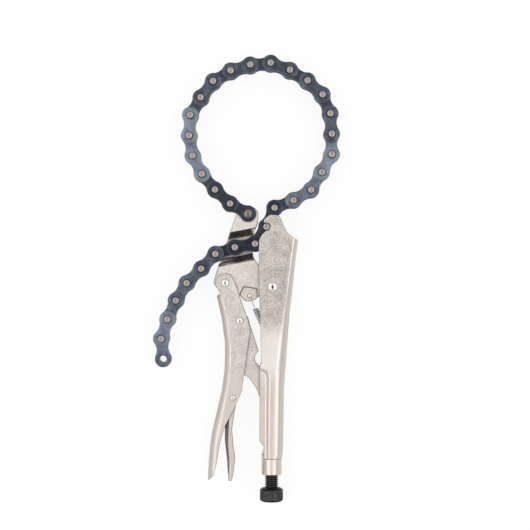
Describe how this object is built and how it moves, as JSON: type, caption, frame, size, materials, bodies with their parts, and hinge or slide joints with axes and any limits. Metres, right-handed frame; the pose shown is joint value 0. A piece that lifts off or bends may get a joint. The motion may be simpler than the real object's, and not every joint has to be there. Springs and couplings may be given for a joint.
{
  "type": "locking chain pliers",
  "caption": "Locking chain pliers: a chain loop hooked onto a sheet-steel handle and tightened by a toggle-locked jaw, with a release lever and a knurled adjusting screw, for gripping pipe.",
  "frame": {"origin": "middle of the chain loop on the tool's mid-plane, the axis of a clamped pipe", "axes": "+Y up along the handles from the knob to the chain loop, +X right, +Z towards the front face along the pipe's axis"},
  "size_m": [0.1451, 0.3473, 0.0252],
  "materials": {
    "nickel_steel": "satin nickel plate with a fine grain",
    "rivet_steel": "bright domed heads",
    "blued_steel": "heat-blued plates with bare grey pin ends",
    "black_oxide": "satin black oxide, knurled knob",
    "spring_steel": "drawn wire"
  },
  "bodies": {
    "fixed_handle": {"fixed_handle": "nickel_steel", "jaw_rivet": "rivet_steel", "return_spring": "spring_steel"},
    "jaw": {"jaw": "nickel_steel", "anchor_rivet": "rivet_steel"},
    "movable_handle": {"movable_handle": "nickel_steel", "ear_rivet": "rivet_steel", "toggle_rivet": "rivet_steel", "lever_rivet": "rivet_steel"},
    "toggle_link": {"toggle_link": "nickel_steel"},
    "release_lever": {"release_lever": "nickel_steel"},
    "adjusting_screw": {"adjusting_screw": "black_oxide"},
    "chain_link_01": {"chain_link_01": "blued_steel"},
    "chain_link_02": {"chain_link_02": "blued_steel"},
    "chain_link_03": {"chain_link_03": "blued_steel"},
    "chain_link_04": {"chain_link_04": "blued_steel"},
    "chain_link_05": {"chain_link_05": "blued_steel"},
    "chain_link_06": {"chain_link_06": "blued_steel"},
    "chain_link_07": {"chain_link_07": "blued_steel"},
    "chain_link_08": {"chain_link_08": "blued_steel"},
    "chain_link_09": {"chain_link_09": "blued_steel"},
    "chain_link_10": {"chain_link_10": "blued_steel"},
    "chain_link_11": {"chain_link_11": "blued_steel"},
    "chain_link_12": {"chain_link_12": "blued_steel"},
    "chain_link_13": {"chain_link_13": "blued_steel"},
    "chain_link_14": {"chain_link_14": "blued_steel"},
    "chain_link_15": {"chain_link_15": "blued_steel"},
    "chain_link_16": {"chain_link_16": "blued_steel"},
    "chain_link_17": {"chain_link_17": "blued_steel"},
    "chain_link_18": {"chain_link_18": "blued_steel"},
    "chain_link_19": {"chain_link_19": "blued_steel"},
    "chain_link_20": {"chain_link_20": "blued_steel"},
    "chain_link_21": {"chain_link_21": "blued_steel"},
    "chain_link_22": {"chain_link_22": "blued_steel"},
    "chain_link_23": {"chain_link_23": "blued_steel"},
    "chain_link_24": {"chain_link_24": "blued_steel"},
    "chain_link_25": {"chain_link_25": "blued_steel"},
    "chain_link_26": {"chain_link_26": "blued_steel"},
    "chain_link_27": {"chain_link_27": "blued_steel"},
    "chain_link_28": {"chain_link_28": "blued_steel"},
    "chain_link_29": {"chain_link_29": "blued_steel"},
    "chain_link_30": {"chain_link_30": "blued_steel"},
    "chain_link_31": {"chain_link_31": "blued_steel"}
  },
  "joints": [
    {"name": "jaw_swing", "type": "hinge", "parent": "fixed_handle", "child": "jaw", "pos_m": [0.0093, -0.1174, 0], "axis": [0, 0, 1], "range_deg": [0, 6], "deforming": ["return_spring"]},
    {"name": "handle_swing", "type": "hinge", "parent": "jaw", "child": "movable_handle", "pos_m": [-0.0275, -0.1144, 0], "axis": [0, 0, 1], "range_deg": [-31.4, 0]},
    {"name": "toggle_swing", "type": "hinge", "parent": "movable_handle", "child": "toggle_link", "pos_m": [-0.0161, -0.1438, 0], "axis": [0, 0, 1], "range_deg": [0, 37.64]},
    {"name": "lever_swing", "type": "hinge", "parent": "movable_handle", "child": "release_lever", "pos_m": [-0.0214, -0.2035, 0], "axis": [0, 0, 1], "range_deg": [-8, 0]},
    {"name": "screw_travel", "type": "slide", "parent": "fixed_handle", "child": "adjusting_screw", "axis": [0, -1, 0], "range_m": [0, 0.008]},
    {"name": "link_01_turn", "type": "hinge", "parent": "jaw", "child": "chain_link_01", "pos_m": [-0.0097, -0.0607, 0], "axis": [0, 0, 1], "range_deg": [-7.68, 0]},
    {"name": "link_02_turn", "type": "hinge", "parent": "chain_link_01", "child": "chain_link_02", "pos_m": [-0.02358, -0.053, 0], "axis": [0, 0, 1], "range_deg": [0, 0.67]},
    {"name": "link_03_turn", "type": "hinge", "parent": "chain_link_02", "child": "chain_link_03", "pos_m": [-0.03519, -0.04217, 0], "axis": [0, 0, 1], "range_deg": [0, 0.96]},
    {"name": "link_04_turn", "type": "hinge", "parent": "chain_link_03", "child": "chain_link_04", "pos_m": [-0.04539, -0.03001, 0], "axis": [0, 0, 1], "range_deg": [0, 1.44]},
    {"name": "link_05_turn", "type": "hinge", "parent": "chain_link_04", "child": "chain_link_05", "pos_m": [-0.05259, -0.01586, 0], "axis": [0, 0, 1], "range_deg": [0, 1.98]},
    {"name": "link_06_turn", "type": "hinge", "parent": "chain_link_05", "child": "chain_link_06", "pos_m": [-0.05534, -0.00023, 0], "axis": [0, 0, 1], "range_deg": [0, 2.17]},
    {"name": "link_07_turn", "type": "hinge", "parent": "chain_link_06", "child": "chain_link_07", "pos_m": [-0.0545, 0.01563, 0], "axis": [0, 0, 1], "range_deg": [-0.61, 0]},
    {"name": "link_08_turn", "type": "hinge", "parent": "chain_link_07", "child": "chain_link_08", "pos_m": [-0.04631, 0.02923, 0], "axis": [0, 0, 1], "range_deg": [-1.38, 0]},
    {"name": "link_09_turn", "type": "hinge", "parent": "chain_link_08", "child": "chain_link_09", "pos_m": [-0.03674, 0.04189, 0], "axis": [0, 0, 1], "range_deg": [-2.04, 0]},
    {"name": "link_10_turn", "type": "hinge", "parent": "chain_link_09", "child": "chain_link_10", "pos_m": [-0.02312, 0.05005, 0], "axis": [0, 0, 1], "range_deg": [-2.29, 0]},
    {"name": "link_11_turn", "type": "hinge", "parent": "chain_link_10", "child": "chain_link_11", "pos_m": [-0.00793, 0.05467, 0], "axis": [0, 0, 1], "range_deg": [-1.92, 0]},
    {"name": "link_12_turn", "type": "hinge", "parent": "chain_link_13", "child": "chain_link_12", "pos_m": [0.02279, 0.05057, 0], "axis": [0, 0, 1], "range_deg": [-0.61, 0]},
    {"name": "link_13_turn", "type": "hinge", "parent": "chain_link_14", "child": "chain_link_13", "pos_m": [0.03639, 0.04237, 0], "axis": [0, 0, 1], "range_deg": [-0.61, 0]},
    {"name": "link_14_turn", "type": "hinge", "parent": "chain_link_15", "child": "chain_link_14", "pos_m": [0.04797, 0.03152, 0], "axis": [0, 0, 1], "range_deg": [-0.61, 0]},
    {"name": "link_15_turn", "type": "hinge", "parent": "chain_link_16", "child": "chain_link_15", "pos_m": [0.05414, 0.01689, 0], "axis": [0, 0, 1], "range_deg": [-0.61, 0]},
    {"name": "link_16_turn", "type": "hinge", "parent": "chain_link_17", "child": "chain_link_16", "pos_m": [0.05521, 0.00105, 0], "axis": [0, 0, 1], "range_deg": [-0.61, 0]},
    {"name": "link_17_turn", "type": "hinge", "parent": "chain_link_18", "child": "chain_link_17", "pos_m": [0.05517, -0.01483, 0], "axis": [0, 0, 1], "range_deg": [-0.61, 0]},
    {"name": "link_18_turn", "type": "hinge", "parent": "chain_link_19", "child": "chain_link_18", "pos_m": [0.04743, -0.02869, 0], "axis": [0, 0, 1], "range_deg": [0, 2.81]},
    {"name": "link_19_turn", "type": "hinge", "parent": "chain_link_20", "child": "chain_link_19", "pos_m": [0.03921, -0.04227, 0], "axis": [0, 0, 1], "range_deg": [0, 1.86]},
    {"name": "link_20_turn", "type": "hinge", "parent": "chain_link_21", "child": "chain_link_20", "pos_m": [0.02558, -0.05041, 0], "axis": [0, 0, 1], "range_deg": [0, 1.08]},
    {"name": "link_21_turn", "type": "hinge", "parent": "chain_link_22", "child": "chain_link_21", "pos_m": [0.01084, -0.0563, 0], "axis": [0, 0, 1], "range_deg": [0, 0.61]},
    {"name": "link_22_turn", "type": "hinge", "parent": "fixed_handle", "child": "chain_link_22", "pos_m": [0.0046, -0.0709, 0], "axis": [0, 0, 1], "range_deg": [0, 0.9]},
    {"name": "link_23_turn", "type": "hinge", "parent": "fixed_handle", "child": "chain_link_23", "pos_m": [0.0046, -0.0709, 0], "axis": [0, 0, 1], "range_deg": [-3, 0]},
    {"name": "link_24_turn", "type": "hinge", "parent": "chain_link_23", "child": "chain_link_24", "pos_m": [-0.00428, -0.08406, 0], "axis": [0, 0, 1], "range_deg": [-5, 0]},
    {"name": "link_25_turn", "type": "hinge", "parent": "chain_link_24", "child": "chain_link_25", "pos_m": [-0.01991, -0.08682, 0], "axis": [0, 0, 1], "range_deg": [-20, 0]},
    {"name": "link_26_turn", "type": "hinge", "parent": "chain_link_25", "child": "chain_link_26", "pos_m": [-0.03492, -0.09199, 0], "axis": [0, 0, -1], "range_deg": [-16, 25]},
    {"name": "link_27_turn", "type": "hinge", "parent": "chain_link_26", "child": "chain_link_27", "pos_m": [-0.04595, -0.10341, 0], "axis": [0, 0, 1], "range_deg": [-28, 25]},
    {"name": "link_28_turn", "type": "hinge", "parent": "chain_link_27", "child": "chain_link_28", "pos_m": [-0.05717, -0.11463, 0], "axis": [0, 0, -1], "range_deg": [-30, 30]},
    {"name": "link_29_turn", "type": "hinge", "parent": "chain_link_28", "child": "chain_link_29", "pos_m": [-0.06559, -0.12809, 0], "axis": [0, 0, 1], "range_deg": [-30, 30]},
    {"name": "link_30_turn", "type": "hinge", "parent": "chain_link_29", "child": "chain_link_30", "pos_m": [-0.07204, -0.1426, 0], "axis": [0, 0, -1], "range_deg": [-30, 30]},
    {"name": "link_31_turn", "type": "hinge", "parent": "chain_link_30", "child": "chain_link_31", "pos_m": [-0.07695, -0.15769, 0], "axis": [0, 0, 1], "range_deg": [-30, 30]}
  ],
  "couplings": [
    {"joint": "handle_swing", "follows": "jaw_swing", "ratio": -5.232},
    {"joint": "toggle_swing", "follows": "jaw_swing", "ratio": 6.272},
    {"joint": "link_01_turn", "follows": "jaw_swing", "ratio": -1.28},
    {"joint": "link_02_turn", "follows": "jaw_swing", "ratio": 0.11},
    {"joint": "link_03_turn", "follows": "jaw_swing", "ratio": 0.16},
    {"joint": "link_04_turn", "follows": "jaw_swing", "ratio": 0.24},
    {"joint": "link_05_turn", "follows": "jaw_swing", "ratio": 0.33},
    {"joint": "link_06_turn", "follows": "jaw_swing", "ratio": 0.36},
    {"joint": "link_07_turn", "follows": "jaw_swing", "ratio": -0.1},
    {"joint": "link_08_turn", "follows": "jaw_swing", "ratio": -0.229},
    {"joint": "link_09_turn", "follows": "jaw_swing", "ratio": -0.34},
    {"joint": "link_10_turn", "follows": "jaw_swing", "ratio": -0.38},
    {"joint": "link_11_turn", "follows": "jaw_swing", "ratio": -0.32},
    {"joint": "link_12_turn", "follows": "jaw_swing", "ratio": -0.1},
    {"joint": "link_13_turn", "follows": "jaw_swing", "ratio": -0.1},
    {"joint": "link_14_turn", "follows": "jaw_swing", "ratio": -0.1},
    {"joint": "link_15_turn", "follows": "jaw_swing", "ratio": -0.1},
    {"joint": "link_16_turn", "follows": "jaw_swing", "ratio": -0.1},
    {"joint": "link_17_turn", "follows": "jaw_swing", "ratio": -0.1},
    {"joint": "link_18_turn", "follows": "jaw_swing", "ratio": 0.467},
    {"joint": "link_19_turn", "follows": "jaw_swing", "ratio": 0.31},
    {"joint": "link_20_turn", "follows": "jaw_swing", "ratio": 0.18},
    {"joint": "link_21_turn", "follows": "jaw_swing", "ratio": 0.1},
    {"joint": "link_22_turn", "follows": "jaw_swing", "ratio": 0.15}
  ]
}
